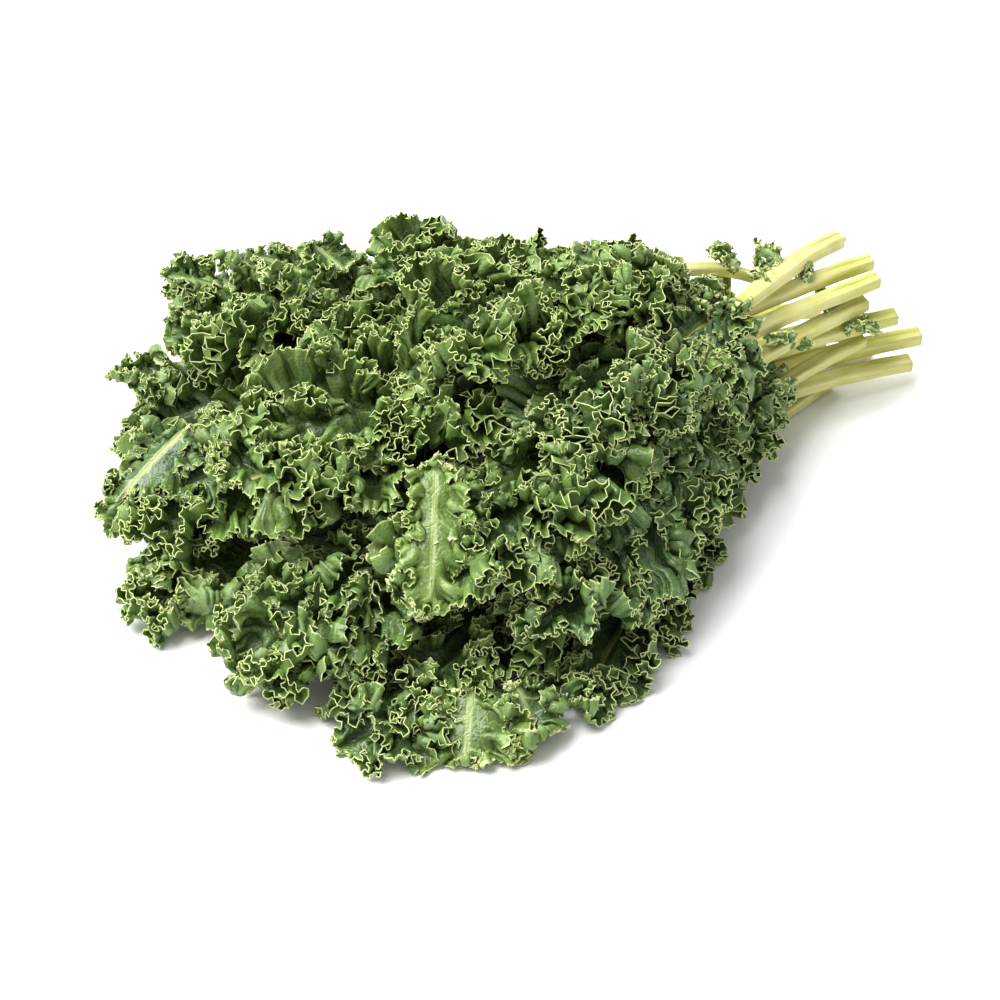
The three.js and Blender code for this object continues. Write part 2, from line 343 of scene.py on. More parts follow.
def stalk_rings(node):
    """The centre and radius of each ring of a stalk, from its cut end to its tip."""
    points, triangles = welded(node)
    beside = [set() for _ in points]
    for a, b, c in triangles:
        beside[a] |= {b, c}
        beside[b] |= {a, c}
        beside[c] |= {a, b}
    ends = [i for i, near in enumerate(beside) if len(near) == STALK_SIDES]
    cut = max(ends, key=lambda i: points[i][0])
    seen, ring = {cut}, beside[cut]
    centres, radii = [], []
    while len(ring) == STALK_SIDES:
        places = points[list(ring)]
        centres.append(places.mean(axis=0))
        radii.append(np.linalg.norm(places - centres[-1], axis=1).mean())
        seen = seen | ring
        ring = set().union(*(beside[i] for i in ring)) - seen
    return np.array(centres), np.array(radii)


def smoothed(values, rounds):
    """Evens out a list of values, with its ends kept."""
    values = values.copy()
    for _ in range(rounds):
        values[1:-1] = (values[:-2] + 2 * values[1:-1] + values[2:]) / 4
    return values


class Spine:
    """The line through a stalk and its midrib, measured along the floor plan from the cut end."""

    def __init__(self, node):
        centres, radii = stalk_rings(node)
        last = centres[-1] - centres[-2]
        past = centres[-1] + last / np.linalg.norm(last[:2]) * PAST_TIP
        centres = np.vstack([centres, past])
        radii = np.append(radii, radii[-1])
        steps = np.linalg.norm(np.diff(centres[:, :2], axis=0), axis=1)
        reached = np.append(0, np.cumsum(steps))
        self.tip = reached[-2]
        self.along = np.arange(0, reached[-1], SPINE_STEP)
        line = np.stack([np.interp(self.along, reached, centres[:, k]) for k in range(3)], axis=1)
        self.line = smoothed(line, LINE_ROUNDS)
        self.radii = smoothed(np.interp(self.along, reached, radii), RADIUS_ROUNDS)
        onwards = np.gradient(self.line, axis=0)
        onwards[:, 2] = 0
        self.onwards = onwards / np.linalg.norm(onwards, axis=1, keepdims=True)

    def look_up(self, table, along):
        return np.stack([np.interp(along, self.along, table[:, k]) for k in range(3)], axis=-1)

    def at(self, along):
        return self.look_up(self.line, along)

    def onward(self, along):
        """The level direction towards the tip."""
        return self.look_up(self.onwards, along)

    def side(self, along):
        """The level direction to the left of the spine."""
        onwards = self.onward(along)
        side = np.stack([-onwards[..., 1], onwards[..., 0], np.zeros_like(along)], axis=-1)
        return side / np.linalg.norm(side, axis=-1, keepdims=True)

    def radius(self, along):
        return np.interp(along, self.along, self.radii)


class Slab:
    """The space that a CAD blade holds: its half widths, and its bottom and top, over the spine."""

    def __init__(self, node, spine):
        points, triangles = welded(node)
        self.solid = BVHTree.FromPolygons(points.tolist(), triangles.tolist())
        low, high = points.min(axis=0)[2], points.max(axis=0)[2]
        self.below, self.above = low - CAST_MARGIN, high + CAST_MARGIN
        inside = [along for along in spine.along if self.heights(spine, along, 0)]
        self.start, self.end = inside[0], inside[-1]
        self.rows = np.linspace(self.start + 0.5 * MM, self.end - 0.5 * MM, SLAB_ROWS)
        sides = {side: [self.reach(spine, row, side) for row in self.rows] for side in (-1, 1)}
        self.widths = {side: np.array(widths) for side, widths in sides.items()}
        self.columns = np.linspace(-1, 1, SLAB_COLUMNS)
        table = np.array(
            [[self.sample(spine, i, q) for q in self.columns] for i in range(SLAB_ROWS)]
        )
        self.widths = {side: smoothed(widths, WIDTH_ROUNDS) for side, widths in self.widths.items()}
        for _ in range(TABLE_ROUNDS):
            table = smoothed(table, 1)
            table = np.swapaxes(smoothed(np.swapaxes(table, 0, 1), 1), 0, 1)
        self.table = table

    def heights(self, spine, along, sideways):
        """The bottom and top of the slab at a place, or None where it isn't."""
        x, y, _ = spine.at(along) + spine.side(np.array(along)) * sideways
        bottom = self.solid.ray_cast(Vector((x, y, self.below)), Vector((0, 0, 1)))[0]
        top = self.solid.ray_cast(Vector((x, y, self.above)), Vector((0, 0, -1)))[0]
        return (bottom.z, top.z) if bottom and top else None

    def reach(self, spine, along, side):
        """How far the slab goes to one side."""
        reach = 0.0
        while self.heights(spine, along, side * (reach + MM)):
            reach += MM
        return reach

    def sample(self, spine, row, share):
        """The slab's bottom and top in a row, just inside a share of its half width."""
        width = self.widths[1 if share > 0 else -1][row] * abs(share) * 0.97
        found = self.heights(spine, self.rows[row], math.copysign(width, share))
        return found or self.heights(spine, self.rows[row], 0)

    def width(self, along, side):
        return np.interp(along, self.rows, self.widths[side])

    def levels(self, along, share):
        """The slab's bottom and top at places along it and at shares of its half width."""
        row = np.interp(along, self.rows, np.arange(SLAB_ROWS))
        column = np.interp(share, self.columns, np.arange(SLAB_COLUMNS))
        i = np.minimum(row.astype(int), SLAB_ROWS - 2)
        j = np.minimum(column.astype(int), SLAB_COLUMNS - 2)
        s, t = (row - i)[:, None], (column - j)[:, None]
        near = self.table[i, j] * (1 - t) + self.table[i, j + 1] * t
        far = self.table[i + 1, j] * (1 - t) + self.table[i + 1, j + 1] * t
        return (near * (1 - s) + far * s).T


class LobeSpine:
    """The vein of a small lobe that grows from a place, droops, and ends before the lobe does."""

    def __init__(self, base, turn, rise, droop, length, girth):
        direction = np.array([math.cos(math.radians(turn)), math.sin(math.radians(turn)), rise])
        self.base = base
        self.direction = direction / np.linalg.norm(direction)
        self.droop = droop
        self.tip = length * 0.84
        self.girth = girth

    def at(self, along):
        along = np.asarray(along, float)
        line = self.base + self.direction * along[..., None]
        line[..., 2] -= self.droop * along**2
        return line

    def onward(self, along):
        level = np.array([self.direction[0], self.direction[1], 0.0])
        level /= np.linalg.norm(level)
        return np.broadcast_to(level, (*np.shape(along), 3))

    def side(self, along):
        onwards = self.onward(along)
        return np.stack([-onwards[..., 1], onwards[..., 0], onwards[..., 2]], axis=-1)

    def radius(self, along):
        return np.interp(along, (0, self.tip), (self.girth, self.girth * 0.35))


class LobeRoom:
    """The space that a small lobe may fill."""

    def __init__(self, spine, length, half_width, height):
        self.spine = spine
        self.start, self.end = 0.0, length
        self.half_width, self.height = half_width, height

    def width(self, along, side):
        share = np.clip(along / self.end, 0, 1)
        return self.half_width * (0.25 + 0.75 * np.sin(math.pi * np.clip(share, 0.02, 0.98)) ** 0.7)

    def levels(self, along, share):
        bottom = self.spine.at(along)[..., 2] - self.half_width * 0.3 * share**2
        return bottom, bottom + self.height


# ---- The blade before it is frilled ----

# Rows of points from the midrib (0) out to the margin (1), and how many margin columns one of
# their columns spans.
COARSEST = 16
REACHES = {
    COARSEST: (0.0, 0.14, 0.28),
    8: (0.38, 0.48),
    4: (0.58, 0.68),
    2: (0.77, 0.85, 0.93),
    1: (1.0,),
}
ROWS = [(reach, step) for step, reaches in REACHES.items() for reach in reaches]
ROUND_TIP_AT = 0.74
OUTLINE_STEPS = 900
VEIN_SPACING = 22 * MM
VEIN_SHARE = 0.4
HEADROOM = 5 * MM

# The tiers of lobes that stand one inside another on a midrib, from the widest to the narrowest:
# share of the leaf's width, where they start and end along it, how high they lie in the leaf's
# slab, and how much more than the widest they roll.
TIERS = (
    (1.06, 0.0, 1.0, 0.12, 1.0),
    (0.68, 0.03, 0.93, 0.34, 1.05),
    (0.36, 0.06, 0.85, 0.5, 1.12),
)
LOW_TIERS = (
    (1.06, 0.0, 1.0, 0.12, 1.0),
    (0.6, 0.15, 0.95, 0.36, 1.05),
)
LOBE_TIER = ((1.0, 0.0, 1.0, 0.0, 1.0),)
LOBE_FINENESS = 0.8

# How each leaf differs: the size of its frills, how far it rolls, how yellow its green is, how
# fine its margin is made, and its tiers.
CHARACTERS = {
    "leaf_01": (0.85, 1.0, 0.2, 0.8, LOW_TIERS),
    "leaf_02": (0.85, 1.0, 0.6, 0.75, LOW_TIERS),
    "leaf_03": (1.0, 1.0, 0.42, 0.9, TIERS),
    "leaf_04": (0.9, 1.0, 0.6, 0.7, LOW_TIERS),
    "leaf_05": (0.95, 1.0, 0.5, 0.85, LOW_TIERS),
    "leaf_06": (0.85, 1.0, 0.25, 1.0, TIERS),
    "leaf_07": (0.85, 1.0, 0.6, 0.8, LOW_TIERS),
    "leaf_08": (1.2, 0.95, 0.42, 0.9, TIERS),
    "leaf_09": (0.9, 1.0, 0.7, 1.0, LOW_TIERS),
    "leaf_10": (0.85, 1.0, 0.1, 1.0, TIERS),
    "leaf_11": (0.8, 1.0, 0.7, 1.0, TIERS),
    "leaf_12": (1.25, 0.9, 0.48, 0.95, TIERS),
    "leaf_13": (1.25, 0.95, 0.7, 0.95, TIERS),
    "leaf_14": (0.78, 1.0, 0.6, 1.0, TIERS),
    "leaf_15": (0.85, 1.0, 0.3, 1.0, TIERS),
    "leaf_16": (0.9, 1.0, 0.7, 1.0, TIERS),
}


def lobed(shares, depth, seed):
    """How wide the margin stands at each share of its way round, with irregular lobes."""
    generator = np.random.default_rng(seed)
    count = generator.integers(4, 7)
    edges = np.sort(generator.uniform(-0.35, 0.35, count) + np.arange(count)) / count
    notch = np.zeros_like(shares)
    for edge in edges:
        size = generator.uniform(0.6, 1.0)
        notch = np.maximum(notch, size * np.exp(-(((shares - edge) / 0.028) ** 2)))
    swell = sum(np.sin(TAU * (k * shares + generator.uniform())) for k in (3, 5, 8)) / 3
    return (1 - depth * notch) * (0.97 + 0.07 * swell)


def margin_outline(spine, slab, tier, depth, seed):
    """Points along a tier's margin, round the tip: share of the way, along and sideways."""
    width_share, first, last, _, _ = tier
    way = np.linspace(0, 1, OUTLINE_STEPS)
    past = np.clip((way - ROUND_TIP_AT) / (1 - ROUND_TIP_AT), 0, 1)
    across = np.sqrt(1 - past**2)
    lobes = [lobed(way, depth, seed * 10 + side) for side in (1, 2)]
    shares = np.concatenate([way, way[::-1][1:]])
    sides = np.concatenate([across * lobes[0], -(across * lobes[1])[::-1][1:]])
    span = slab.end - slab.start
    along = slab.start + span * (first + (last - first) * shares)
    width = np.where(sides > 0, slab.width(along, 1), slab.width(along, -1)) * width_share
    sideways = sides * width
    rib = spine.radius(along) * 0.9
    opening = np.clip(shares / 0.14, 0, 1) ** 0.7
    hand = np.where(sides >= 0, 1.0, -1.0)
    sideways = hand * rib + (sideways - hand * rib) * opening
    return shares, along, sideways


VALUES = {name: "FLOAT_VECTOR" for name in ("place", "outward", "flat")}
for name in ("run", "ray", "from_edge", "room", "reach", "margin", "vein", "rolling"):
    VALUES[name] = "FLOAT"
VALUES["row"] = "INT"
NEIGHBOURS = ("ahead", "behind", "inner", "margin_point")


def tier_sheet(spine, slab, tier, depth, fineness, number, rank):
    """One tier as a flat sheet of rows and columns, with what its frills need at each point."""
    _, first, last, lie, roll = tier
    outline = margin_outline(spine, slab, tier, depth, number * 3 + rank)
    _, along, sideways = outline
    places = spine.at(along) + spine.side(along) * sideways[:, None]
    length = np.append(0, np.cumsum(np.linalg.norm(np.diff(places[:, :2], axis=0), axis=1)))
    columns = int(length[-1] / MM * fineness / COARSEST) * COARSEST + 1
    run = np.linspace(0, length[-1], columns)
    share, out_along, out_side = (np.interp(run, length, table) for table in outline)
    rib_share = 0.93 * share - 0.13 * np.sin(math.pi * share)
    rib_along = slab.start + (slab.end - slab.start) * (first + (last - first) * rib_share)
    hand = np.where(np.linspace(0, 1, columns) < 0.5, 1.0, -1.0)
    rib_side = hand * spine.radius(rib_along) * (0.75 - 0.15 * rank)
    vein = (rib_along - slab.start + hand * 4 * MM) / VEIN_SPACING % 1
    vein = np.abs(vein - 0.5) * VEIN_SPACING
    rows = []
    for row, (reach, step) in enumerate(ROWS):
        ray_a, ray_w = (out_along - rib_along)[::step], (out_side - rib_side)[::step]
        ray = np.hypot(ray_a, ray_w)
        a = rib_along[::step] + ray_a * reach
        w = rib_side[::step] + ray_w * reach
        half = np.where(w > 0, slab.width(a, 1), slab.width(a, -1))
        bottom, top = slab.levels(a, np.clip(w / np.maximum(half, MM), -1, 1))
        rib_top = spine.at(a)[:, 2] + spine.radius(a) * (0.7 + 0.12 * rank)
        settle = np.clip(reach / 0.25, 0, 1)
        settle = settle * settle * (3 - 2 * settle)
        place = spine.at(a) + spine.side(a) * w[:, None]
        place[:, 2] = rib_top * (1 - settle) + (bottom + (top - bottom) * lie) * settle
        outward = spine.onward(a) * ray_a[:, None] + spine.side(a) * ray_w[:, None]
        outward /= np.maximum(np.linalg.norm(outward, axis=1, keepdims=True), 1e-9)
        same = np.ones(len(a))
        found = {
            "place": place,
            "outward": outward,
            "flat": np.stack([a, w, same * (number + rank * 0.37)], axis=1),
            "run": ray * reach,
            "ray": ray,
            "from_edge": ray * (1 - reach),
            "room": (top - bottom) * (1 - lie) + HEADROOM,
            "reach": same * reach,
            "margin": run[::step] + rank * 3.0,
            "vein": np.minimum(vein[::step], ray * reach * VEIN_SHARE),
            "rolling": same * roll,
            "row": np.full(len(a), rank * 100 + row),
        }
        rows.append(found)
    values = {name: np.concatenate([found[name] for found in rows]) for name in VALUES}
    return values, *sheet_links(columns)


def sheet_links(columns):
    """The neighbours of each point of a sheet, and its faces."""
    counts = [(columns - 1) // step + 1 for _, step in ROWS]
    starts = np.append(0, np.cumsum(counts))
    neighbours = {name: [] for name in NEIGHBOURS}
    faces = []
    for row, (_, step) in enumerate(ROWS):
        mine = starts[row] + np.arange(counts[row])
        neighbours["ahead"].append(np.minimum(mine + 1, mine[-1]))
        neighbours["behind"].append(np.maximum(mine - 1, mine[0]))
        neighbours["margin_point"].append(starts[-2] + np.arange(counts[row]) * step)
        if row == 0:
            neighbours["inner"].append(mine)
            continue
        inner_step = ROWS[row - 1][1]
        neighbours["inner"].append(starts[row - 1] + np.arange(counts[row]) * step // inner_step)
        back = starts[row - 1] + np.arange(counts[row - 1])
        if inner_step == step:
            faces.append(np.stack([back[:-1], back[1:], mine[1:], mine[:-1]], axis=1))
            continue
        left, middle, right = mine[:-2:2], mine[1:-1:2], mine[2::2]
        faces.append(np.stack([back[:-1], middle, left], axis=1))
        faces.append(np.stack([back[:-1], back[1:], middle], axis=1))
        faces.append(np.stack([back[1:], right, middle], axis=1))
    return {name: np.concatenate(part) for name, part in neighbours.items()}, faces


def blade_sheet(name, spine, slab, tiers, depth, fineness, number):
    """The mesh of a leaf's tiers, with each point's neighbours and values as attributes."""
    sheets = [
        tier_sheet(spine, slab, tier, depth, fineness, number, rank)
        for rank, tier in enumerate(tiers)
    ]
    values, neighbours, polygons, start = {}, {}, [], 0
    for tier_values, tier_neighbours, faces in sheets:
        for key, value in tier_values.items():
            values.setdefault(key, []).append(value)
        for key, value in tier_neighbours.items():
            neighbours.setdefault(key, []).append(value + start)
        polygons += [face for part in faces for face in (part + start).tolist()]
        start += len(tier_values["row"])
    mesh = bpy.data.meshes.new(name)
    mesh.from_pydata(np.concatenate(values.pop("place")).tolist(), [], polygons)
    for key, parts in (values | neighbours).items():
        store(mesh, key, VALUES.get(key, "INT"), np.concatenate(parts))
    mesh.update()
    return mesh


# ---- Frills ----

FLOOR_EASE = 4 * MM
FLOOR_GAP = 0.3 * MM
LEAF_FINISHES = ("kale leaf upper", "kale leaf under", "kale leaf edge")


def fold(net, geometry, wires):
    """Rolls stretches of the margin up and in, with flat stretches between them."""
    reach, run, ray = (net.attribute(name) for name in ("reach", "run", "ray"))
    outward = net.attribute("outward", "FLOAT_VECTOR")
    count = net.attribute("margin") / wires["Fold Length"]
    drift = net.noise_along(count * 0.5 + wires["Seed"] * 7.3)
    strength = net.noise_along(count * 0.9 + wires["Seed"] * 3.1 + 40)
    angle = (count + drift * 3.0) * TAU
    roll = wires["Roll"] * net.attribute("rolling")
    bend = roll * (0.45 + angle.cosine() * 0.55) * (0.3 + strength * 1.4) + 0.002
    first = ray * wires["Fold Start"] * (0.5 + strength)
    free = (ray - first).at_least(MM)
    progress = ((run - first) / free).at_least(0).at_most(1)
    turned = bend * progress
    inwards = free * (turned.sine() / bend - progress)
    lifted = free * (1 - turned.cosine()) / bend
    squeeze = (net.attribute("room") / (free * 0.72)).at_most(1.0)
    sway = net.unrest(wires["Seed"], 42.0, 1.0) * (reach.ramp(0.15, 0.8) * 24 * MM)
    return net.move(geometry, outward * inwards + net.raised(lifted * squeeze) + sway)


def travelled(net, place, length):
    """How many lengths lie between each column's margin point and the start of the margin."""
    step = (place - net.value_at(place, "behind")).length()
    values = {"Value": step, "Group ID": net.attribute("row", "INT")}
    settings = {"data_type": "FLOAT", "domain": "POINT"}
    distance = net.add("GeometryNodeAccumulateField", settings, values)[0]
    return net.value_at(distance, "margin_point", "FLOAT") / length


def wave(net, geometry, wires, kind, start, full, seed, overhang):
    """Throws the sheet into waves along its margin, which grow from one reach to another."""
    place = net.position()
    onwards = (net.value_at(place, "ahead") - net.value_at(place, "behind")).direction()
    count = travelled(net, place, wires[kind + " Length"])
    drift = net.noise_along(count * 0.5 + seed)
    strength = net.noise_along(count * 0.6 + seed + 90)
    angle = (count + drift * 1.7) * TAU
    grown = wires[kind + " Height"] * net.attribute("reach").ramp(start, full)
    size = grown * (strength * 2.6 - 0.3).at_least(0.1)
    across = net.normal() * (angle.cosine() * size)
    return net.move(geometry, across + onwards * ((angle * 2).sine() * size * overhang))


def teeth(net, geometry, wires, seed):
    """Cuts the margin into small pointed teeth that stand out along the sheet."""
    place = net.position()
    count = travelled(net, place, wires["Tooth Length"])
    angle = (count + net.noise_along(count * 0.6 + seed) * 1.6) * math.pi
    strength = net.noise_along(count * 0.5 + seed + 60)
    grown = wires["Tooth Height"] * net.attribute("reach").ramp(0.9, 1.0, smooth=False)
    size = grown * (strength * 2.8 - 0.4).at_least(0.1)
    outward = (place - net.value_at(place, "inner")).direction()
    return net.move(geometry, outward * ((1 - angle.sine().size()) * size))


def pucker(net, geometry, wires, seed):
    """Puckers the whole blade a little."""
    wide = net.noise(net.position() + seed, 85.0, 2.0)
    size = wires["Pucker Height"] * net.attribute("reach").ramp(0.03, 0.3)
    return net.move(geometry, net.normal() * ((wide - 0.5) * 4 * size))


def above_floor(net, geometry):
    """Flattens what would go through the floor onto it."""
    height = net.add("ShaderNodeSeparateXYZ", None, {0: net.position()})[2]
    low = height.at_most(FLOOR_EASE)
    eased = (low / FLOOR_EASE - 1).exponent() * (FLOOR_EASE - FLOOR_GAP) + FLOOR_GAP
    return net.move(geometry, net.raised(eased - low))


def frill_tree(values):
    """The tree that frills a flat blade, from its large folds to its small teeth."""
    net, wires = geometry_tree("Kale Frill", values)
    seed = wires["Seed"] * 11.7
    sheet = fold(net, wires["Geometry"], wires)
    sheet = wave(net, sheet, wires, "Ruffle", 0.3, 0.85, seed, 0.3)
    sheet = pucker(net, sheet, wires, seed)
    sheet = wave(net, sheet, wires, "Curl", 0.6, 0.95, seed + 20, 0.35)
    sheet = wave(net, sheet, wires, "Crimp", 0.85, 1.0, seed + 31, 0.2)
    sheet = teeth(net, sheet, wires, seed + 47)
    end_tree(net, above_floor(net, sheet), wires["Material"])


# The inputs of the frill tree that grow with the size of the frills, and those that don't.
SIZED = ["Pucker Height", "Fold Length"]
SIZED += [kind + what for kind in ("Ruffle", "Curl", "Crimp") for what in (" Length", " Height")]
SIZED += ["Tooth Height"]
UNSIZED = ("Tooth Length", "Fold Start", "Roll")


def frill_values(settings, size, roll, number):
    """The inputs of the frill tree for frills of a size."""
    values = {}
    for label in (*SIZED, *UNSIZED):
        value = getattr(settings, label.lower().replace(" ", "_"))
        values[label] = value * size if label in SIZED else value
    values["Roll"] *= roll
    return values | {"Seed": float(number), "Material": bpy.data.materials[LEAF_FINISHES[0]]}


def paint_sides(mesh, sheet_faces):
    """Gives the upper side, the under side and the cut edge of a thickened sheet a finish each."""
    mesh.materials.clear()
    for finish in LEAF_FINISHES:
        mesh.materials.append(bpy.data.materials[finish])
    sides = np.full(len(mesh.polygons), 2, np.int32)
    sides[:sheet_faces] = 0
    sides[sheet_faces : 2 * sheet_faces] = 1
    mesh.polygons.foreach_set("material_index", sides)
    mesh.polygons.foreach_set("use_smooth", np.ones(len(mesh.polygons), bool))
    rim_edges = np.zeros(len(mesh.edges), bool)
    loops = np.empty(len(mesh.loops), int)
    mesh.loops.foreach_get("edge_index", loops)
    starts = np.empty(len(mesh.polygons), int)
    mesh.polygons.foreach_get("loop_start", starts)
    rim_edges[loops[starts[2 * sheet_faces] :]] = True
    mesh.edges.foreach_set("use_edge_sharp", rim_edges)


KEPT_VALUES = ("flat", "reach", "from_edge", "vein", "tint", "position")


def make_blade(name, spine, room, tiers, fineness, size, roll, tint, number):
    """A finished leaf blade: a sheet, frilled, given its thickness and painted."""
    settings = bpy.context.scene.kale_blades
    depth, columns_per_mm = settings.lobe_depth, settings.columns_per_mm * fineness
    sheet = blade_sheet(name + "_sheet", spine, room, tiers, depth, columns_per_mm, number)
    store(sheet, "tint", "FLOAT", np.full(len(sheet.vertices), tint))
    faces = len(sheet.polygons)
    piece = new_piece(name, sheet)
    use_tree(piece, bpy.data.node_groups["Kale Frill"], frill_values(settings, size, roll, number))
    solid = piece.modifiers.new("Thickness", "SOLIDIFY")
    solid.thickness = settings.thickness
    solid.offset = 0
    bake(piece)
    paint_sides(piece.data, faces)
    attributes = piece.data.attributes
    for kept in [a.name for a in attributes if a.domain == "POINT" and a.name not in KEPT_VALUES]:
        attributes.remove(attributes[kept])
    return piece


# ---- Finishes ----


def new_material(name):
    """A material with an empty tree, and its net."""
    material = bpy.data.materials.new(name)
    material.use_nodes = True
    material.node_tree.nodes.clear()
    return material, Net(material.node_tree)


def end_material(net, shader):
    net.add("ShaderNodeOutputMaterial", None, {"Surface": shader})


def bumps(net, height, strength, distance):
    values = {"Strength": strength, "Distance": distance, "Height": height}
    return net.add("ShaderNodeBump", None, values)[0]


def surface(net, colour, roughness, **more):
    """The shader of a surface. Other sockets are named with _ for a space."""
    values = {"Base Color": colour, "Roughness": roughness}
    values |= {name.replace("_", " "): value for name, value in more.items()}
    return net.add("ShaderNodeBsdfPrincipled", None, values)[0]


def shader_attribute(net, name, output):
    """An attribute's value in a shader: output 1 is its vector and 2 its number."""
    return net.add("ShaderNodeAttribute", {"attribute_name": name})[output]


def voronoi_edges(net, place, scale):
    """How far a place is from the edge of its cell, in cells of a scale."""
    values = {"Vector": place, "Scale": scale, "Randomness": 1.0}
    return net.add("ShaderNodeTexVoronoi", {"feature": "DISTANCE_TO_EDGE"}, values)[0]


LIGHT_THROUGH = 0.14


def leaf_finish(name, base, colours, roughness):
    """Leaf green that pales over the veins and to the margin, partly as painted light on the lit
    frill tips, and stays darker on the inner blade as painted shade, with a network of fine veins.
    """
    _, net = new_material(name)
    flat = shader_attribute(net, "flat", 1)
    names = ("from_edge", "reach", "vein", "tint")
    edge, reach, vein, tint = (shader_attribute(net, kept, 2) for kept in names)
    place = net.add("ShaderNodeTexCoord")[3]

    patches = net.noise(place, 26.0, 3.0)
    mottle = net.noise(place, 320.0, 4.0, 0.65)
    fine_cells = voronoi_edges(net, place, 420.0)
    fine_line = 1 - fine_cells.ramp(0.0, 0.14)
    wide_line = 1 - voronoi_edges(net, flat, 120.0).ramp(0.01, 0.06)
    main_line = (1 - vein.ramp(0.25 * MM, 0.8 * MM)) * (1 - reach.ramp(0.55, 0.9))
    green = net.layered(
        base,
        # Painted shade and light: the inner blade keeps the deep base green as painted shade, and
        # the outer frills grow paler as painted light, over random pale patches.
        (patches.ramp(0.35, 0.65) * 0.25 + reach.ramp(0.6, 1.0) * 0.35, colours.leaf_pale_and_lit),
        # Paler over the last 6 mm to the margin. This is partly the leaf paling towards its pale
        # rim and partly painted light on the lit frill tips.
        ((1 - edge.ramp(0.5 * MM, 6.0 * MM)) * 0.75, colours.leaf_pale_and_lit),
        ((0.75 - tint).at_least(0) * 0.7, colours.cool),
        ((tint - 0.8).at_least(0) * 3, colours.leaf_pale_and_lit),
        (mottle.ramp(0.5, 0.8) * 0.35, colours.leaf_pale_and_lit),
        (fine_line * 0.12, colours.vein),
        (wide_line * 0.2, colours.vein),
        (main_line * 0.65, colours.vein),
        ((1 - edge.ramp(0.05 * MM, 0.5 * MM)) * 0.9, colours.margin),
    )
    height = fine_cells.ramp(0.0, 0.5) * 0.7 + mottle * 0.5 - wide_line * 0.5 - main_line * 0.8
    bump = bumps(net, height, 0.45, 0.6 * MM)
    rough = roughness + patches * 0.2 - mottle * 0.15
    front = surface(net, green, rough, Normal=bump, Specular_IOR_Level=0.55)
    values = {"Color": (*colours.leaf_pale_and_lit, 1.0), "Normal": bump}
    through = net.add("ShaderNodeBsdfTranslucent", None, values)[0]
    values = {0: LIGHT_THROUGH, 1: front, 2: through}
    end_material(net, net.add("ShaderNodeMixShader", None, values)[0])


def leaf_finishes(colours):
    """Makes the finishes of the upper side, the under side and the thin edge of the leaves."""
    upper, under, edge = LEAF_FINISHES
    leaf_finish(upper, colours.leaf_dark, colours, 0.28)
    leaf_finish(under, colours.leaf_under, colours, 0.44)
    edge_finish(edge, colours)


def edge_finish(name, colours):
    """The thin cut edge of the frills."""
    _, net = new_material(name)
    place = net.add("ShaderNodeTexCoord")[3]
    pale = net.layered(colours.margin, (net.noise(place, 60.0, 2.0), colours.vein))
    end_material(net, surface(net, pale, 0.5))


GRAIN_AROUND, GRAIN_ALONG = 9.0, 14.0
STREAK_GREEN = (0.33, 0.38, 0.06)
PITH = (0.78, 0.76, 0.45)


def stalk_finish(name, colours, leafy):
    """Pale stalks, streaked along their length and greener near the leaf, dried at the cut."""
    _, net = new_material(name)
    along, around, core = (shader_attribute(net, kept, 2) for kept in ("along", "around", "core"))
    place = net.add("ShaderNodeTexCoord")[3]
    values = {"X": around * GRAIN_AROUND, "Y": along * GRAIN_ALONG}
    grain = net.add("ShaderNodeCombineXYZ", None, values)[0]
    streaks = net.noise(grain, 1.0, 5.0, 0.65)
    patches = net.noise(place, 28.0, 3.0)
    at_cut = (1 - along.ramp(0.1 * MM, 2.2 * MM)) * core.ramp(0.85, 1.0)
    pith = (1 - along.ramp(0.05 * MM, 0.4 * MM)) * (1 - core.ramp(0.55, 0.8))
    green = net.layered(
        colours.stalk,
        (patches.ramp(0.3, 0.7), colours.stalk_light),
        (streaks.ramp(0.5, 0.62) * 0.7, colours.stalk_light),
        ((1 - streaks).ramp(0.52, 0.66) * 0.65, STREAK_GREEN),
        (along.ramp(0.09, 0.2, leafy, 1.0) * (0.35 + leafy * 0.4), colours.vein),
        (at_cut * 0.7, colours.cut),
        (pith * 0.6, PITH),
    )
    bump = bumps(net, streaks * 0.8 + patches * 0.4, 0.7, 0.8 * MM)
    rough = 0.36 + streaks * 0.2
    end_material(net, surface(net, green, rough, Normal=bump, Specular_IOR_Level=0.45))


# ---- Stalks ----

# The cut face and its softened rim: how far in from the end, and share of the stalk's radius.
CUT_FACE = ((0.0, 0.02), (0.02, 0.35), (0.05, 0.7), (0.1, 0.93), (0.4, 0.985), (1.5, 1.0))
SHARP_FROM = math.radians(35)

RAIL_STEP = 3 * MM
TIP_CORE = 0.05
RIDGES = 5
RIDGE_HEIGHT = 0.09
WIDER, FLATTER = 0.08, 0.1
STALK_FINISH, MIDRIB_FINISH = "kale stalk", "kale midrib"


def stalk_rail(name, spine):
    """A stalk's line as a mesh of edges, with its radius and how full each section is."""
    inwards, rims = np.array(CUT_FACE).T
    past_cut = np.arange(RAIL_STEP, spine.tip, RAIL_STEP)
    along = np.concatenate([inwards * MM, past_cut, [spine.tip]])
    cores = np.concatenate([rims, np.ones(len(past_cut)), [TIP_CORE]])
    rail = bpy.data.meshes.new(name)
    rail.from_pydata(spine.at(along).tolist(), [(i, i + 1) for i in range(len(along) - 1)], [])
    store(rail, "core", "FLOAT", cores)
    store(rail, "along", "FLOAT", along)
    store(rail, "girth", "FLOAT", spine.radius(along) * cores)
    return rail


